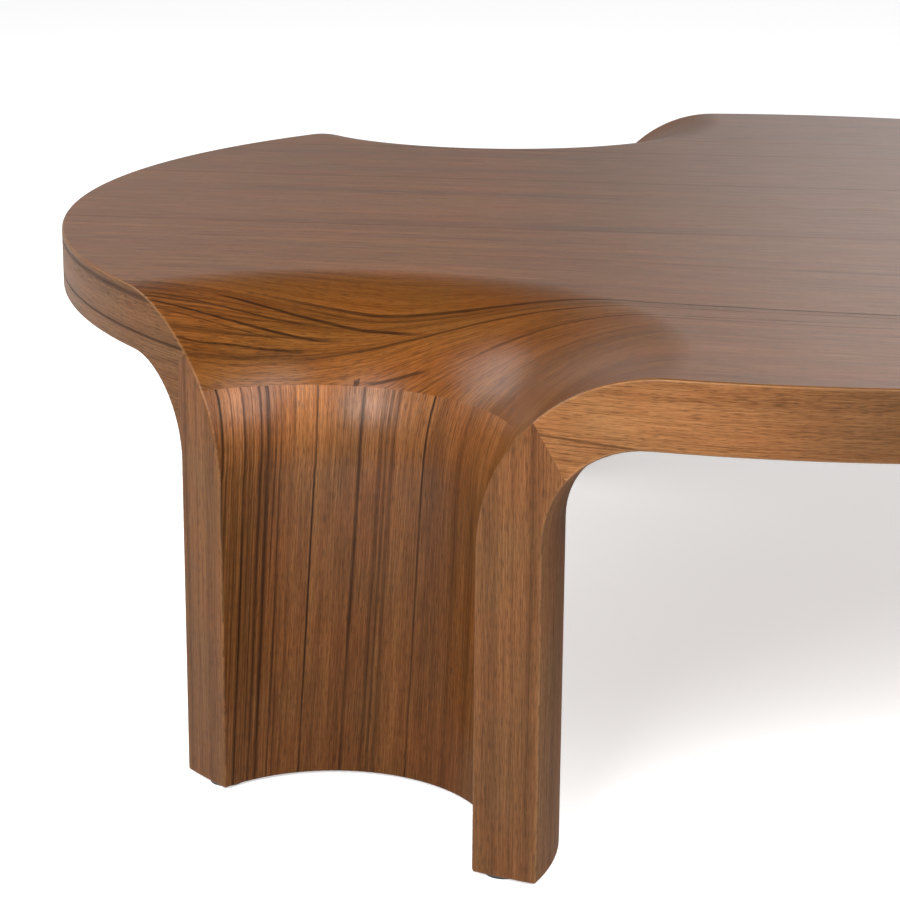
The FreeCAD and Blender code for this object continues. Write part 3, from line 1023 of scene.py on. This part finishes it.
def knee_figure(tree, along, across):
    """The dark growth lines on the near knee, each drawn by a few points."""
    straight = grain_xy(tree)[1]
    jitter = maths(tree, "SUBTRACT", streaks(tree, along, straight, jitter_streak), cloud_middle)
    moved = maths(tree, "MULTIPLY_ADD", jitter, figure_jitter, straight)
    darkest = 0.0
    for half, depth, points in figure_lines:
        gap = maths(tree, "ABSOLUTE", maths(tree, "SUBTRACT", moved, drawn_line(tree, along, points)))
        reach = half / mm_per_metre
        line = spread(tree, gap, reach / 3, reach, depth, 0.0, smooth=True)
        start = points[0][0] / mm_per_metre
        end = points[-1][0] / mm_per_metre
        fade = (end - start) * figure_fade
        line = maths(tree, "MULTIPLY", line, spread(tree, along, start, start + fade, smooth=True))
        line = maths(tree, "MULTIPLY", line, spread(tree, along, end - fade, end, 1.0, 0.0, smooth=True))
        darkest = maths(tree, "MAXIMUM", darkest, line)
    broken = spread(tree, streaks(tree, along, moved, gap_streak), *gap_range)
    darkest = maths(tree, "MULTIPLY", darkest, broken)
    from_middle = maths(tree, "ABSOLUTE", maths(tree, "SUBTRACT", across, fan_middle))
    near = maths(tree, "MULTIPLY", spread(tree, from_middle, *fan_reach), spread(tree, along, *fan_ends))
    hairs = spread(tree, streaks(tree, along, across, fan_streak), *fan_hair_range)
    return maths(tree, "MAXIMUM", darkest, maths(tree, "MULTIPLY", hairs, near))


def painted_shade_right(tree, along, across):
    """Painted shade: the sheet is painted a little darker past the near knee than on its far left, where
    less light falls.
    """
    return spread(tree, along, *painted_shade_past, smooth=True)


def skirt_grid():
    """The part of the sheet over one knee, from its crest down to the seam."""
    grid = []
    for down in spans(0, 1, skirt_rows):
        def row(share, down=down):
            return knee_spot(down * seam_angle(share))
        grid.append([xy_dot(dot.place, dot.rubbed) for dot in turned_dots(row, 0)])
    return grid


top_sheet = new_sheet()
lay_flat(top_sheet, knee_spot(0))
for turn in turns:
    lay_grid(top_sheet, skirt_grid(), Vector((1, 0, 1)), turn)
top_finish = walnut(
    "top_walnut", fanned_grain, top_tones, top_lines, wander=0.01, hairs=0.4, contrast=0.85,
    seed=11.0, figure=knee_figure, shade=painted_shade_right, relief=0.000015)
put_on(top_sheet, "top_sheet", "top_veneer", top_finish)

# Glides and their screws
# Under each foot three black plastic discs keep the wood off the floor, each held by one
# countersunk steel screw.

plastic_tones = ((0.012, 0.012, 0.013, 1), (0.03, 0.03, 0.032, 1))
plastic_scuffs_per_metre = 700.0
plastic_scuffed = (0.4, 0.7)
plastic_rough = (0.4, 0.62)
steel_tones = ((0.35, 0.35, 0.36, 1), (0.55, 0.55, 0.56, 1))
steel_stains_per_metre = 500.0
steel_stained = (0.35, 0.65)
steel_rough = (0.28, 0.45)


def moulded_plastic():
    """Matt black plastic, scuffed a little paler where it slides."""
    material, tree, shader = new_finish("glide_plastic")
    place = in_object(tree)
    scuffs = clouds(tree, scaled(tree, place, plastic_scuffs_per_metre), detail=4.0, rough=0.7)
    colour = mixed(tree, spread(tree, scuffs, *plastic_scuffed), *plastic_tones)
    rough = spread(tree, scuffs, *usual_range, *plastic_rough)
    surface(tree, shader, colour, rough, scuffs, depth=0.0001, strength=0.3)
    return material


def screw_steel():
    """Zinc-plated steel with faint stains."""
    material, tree, shader = new_finish("screw_steel", Metallic=1.0)
    place = in_object(tree)
    stains = clouds(tree, scaled(tree, place, steel_stains_per_metre), detail=3.0, rough=0.6)
    colour = mixed(tree, spread(tree, stains, *steel_stained), *steel_tones)
    rough = spread(tree, stains, *usual_range, *steel_rough)
    surface(tree, shader, colour, rough, stains, depth=0.00005, strength=0.3)
    return material


dress(moulded_plastic(), *at_each("glides"))
dress(screw_steel(), *at_each("glide_screws"))

# Floor, light and camera
# The table stands on a plain pale floor, with soft boxes left of it, right and in front. The sky
# is pale near the horizon and dark above, so that the flat top shines and the knees stay rich.

floor_radius = 14.0
floor_sides = 96
floor_tones = ((0.8, 0.8, 0.8, 1), (0.82, 0.82, 0.82, 1))
floor_clouds_per_metre = 1.5
floor_glow = (0.6, 3.2, 0.55, 0.74)


def pale_floor():
    """A matt floor that glows a little further out, as if it ran on into a lit backdrop."""
    material, tree, shader = new_finish(
        "floor", Roughness=0.9, Emission_Color=(1, 1, 1, 1), Specular_IOR_Level=0.0)
    place = in_object(tree)
    soft = clouds(tree, scaled(tree, place, floor_clouds_per_metre))
    colour = mixed(tree, spread(tree, soft, *usual_range), *floor_tones)
    tree.links.new(colour, shader.inputs["Base Color"])
    reach = add(tree, "ShaderNodeVectorMath", {0: place}, operation="LENGTH").outputs["Value"]
    glow = spread(tree, reach, *floor_glow, smooth=True)
    tree.links.new(glow, shader.inputs["Emission Strength"])
    return material


floor_mesh = bmesh.new()
bmesh.ops.create_circle(floor_mesh, cap_ends=True, segments=floor_sides, radius=floor_radius)
floor_data = bpy.data.meshes.new("floor")
floor_mesh.to_mesh(floor_data)
floor_mesh.free()
floor_data.materials.append(pale_floor())
floor = bpy.data.objects.new("floor", floor_data)
bpy.context.scene.collection.objects.link(floor)

# How far up a direction points, from -1 to 1, and how bright the sky is there
horizon_light = ((-1.0, 0.45), (0.32, 0.45), (0.46, 0.27), (0.6, 0.06), (1.0, 0.06))
behind_from = (0.0, 0.8)
glow_from = (-0.1, 0.1)
glow_rise = (0.12, 0.24, 0.27, 1.3)
glow_gain = 2.2
paler_left = (-0.3, -0.15, 0.3, 0.0)


def grey_tone(level):
    return (level, level, level, 1)


def studio_sky():
    """A pale horizon that darkens upward, brighter behind to the right and a little to the left."""
    world = bpy.data.worlds.new("studio")
    bpy.context.scene.world = world
    world.use_nodes = True
    tree = world.node_tree
    tree.nodes.clear()
    place = add(tree, "ShaderNodeTexCoord").outputs["Generated"]
    parts = add(tree, "ShaderNodeSeparateXYZ", {0: place})
    ramp = add(tree, "ShaderNodeValToRGB", {0: spread(tree, parts.outputs[2], -1, 1)})
    stops = ramp.color_ramp.elements
    for rise, level in horizon_light[1:-1]:
        stops.new((rise + 1) / 2).color = grey_tone(level)
    stops[0].color = grey_tone(horizon_light[0][1])
    stops[-1].color = grey_tone(horizon_light[-1][1])
    behind = spread(tree, parts.outputs[1], *behind_from, smooth=True)
    rightward = spread(tree, parts.outputs[0], *glow_from, smooth=True)
    risen = spread(tree, parts.outputs[2], *glow_rise)
    glow = maths(tree, "MULTIPLY", maths(tree, "MULTIPLY", behind, rightward), risen)
    left = maths(tree, "MULTIPLY", behind, spread(tree, parts.outputs[0], *paler_left))
    gain = maths(tree, "MULTIPLY_ADD", glow, glow_gain, maths(tree, "ADD", left, 1.0))
    light = add(tree, "ShaderNodeBackground", {"Color": ramp.outputs[0], "Strength": gain})
    output = add(tree, "ShaderNodeOutputWorld")
    tree.links.new(light.outputs[0], output.inputs[0])


studio_sky()

# Each soft box: its bearing clockwise from +Y, its elevation, distance, width, height and power
soft_boxes = {
    "box_front_left": (-158, 30, 3.6, 1.5, 1.25, 104),
    "box_left": (-83, 35, 3.4, 1.9, 1.35, 47),
    "box_front_right": (152, 46, 3.4, 1.2, 0.9, 28),
    "box_right": (126, 35, 3.6, 2.0, 1.3, 96),
}

aim = Vector((0, 0, 0.25))
for name, (bearing, elevation, distance, wide, tall, power) in soft_boxes.items():
    data = bpy.data.lights.new(name, "AREA")
    data.shape = "RECTANGLE"
    data.size = wide
    data.size_y = tall
    data.energy = power
    box = bpy.data.objects.new(name, data)
    turn = math.radians(bearing)
    rise = math.radians(elevation)
    flat = math.cos(rise)
    away = Vector((math.sin(turn) * flat, math.cos(turn) * flat, math.sin(rise)))
    box.location = aim + away * distance
    box.rotation_mode = "QUATERNION"
    box.rotation_quaternion = away.to_track_quat("Z", "Y")
    box.visible_camera = False
    bpy.context.scene.collection.objects.link(box)

# The camera looks down at the near leg from in front of it and a little to its right
camera_place = Vector((-0.047, -2.1992, 0.760))
camera_pitch = math.radians(15.634)
camera_yaw = math.radians(-7.051)
camera_roll = math.radians(0.453)
camera_lens = 96.22
sensor = 36.0

forward = Vector((
    math.sin(camera_yaw) * math.cos(camera_pitch),
    math.cos(camera_yaw) * math.cos(camera_pitch),
    -math.sin(camera_pitch)))
level = Vector((math.cos(camera_yaw), -math.sin(camera_yaw), 0))
upright = level.cross(forward)
right = level * math.cos(camera_roll) + upright * math.sin(camera_roll)
upward = upright * math.cos(camera_roll) - level * math.sin(camera_roll)
camera_data = bpy.data.cameras.new("camera")
camera_data.lens = camera_lens
camera_data.sensor_width = sensor
camera = bpy.data.objects.new("camera", camera_data)
camera_turn = Matrix((right, upward, -forward)).transposed().to_4x4()
camera.matrix_world = Matrix.Translation(camera_place) @ camera_turn
bpy.context.scene.collection.objects.link(camera)
bpy.context.scene.camera = camera
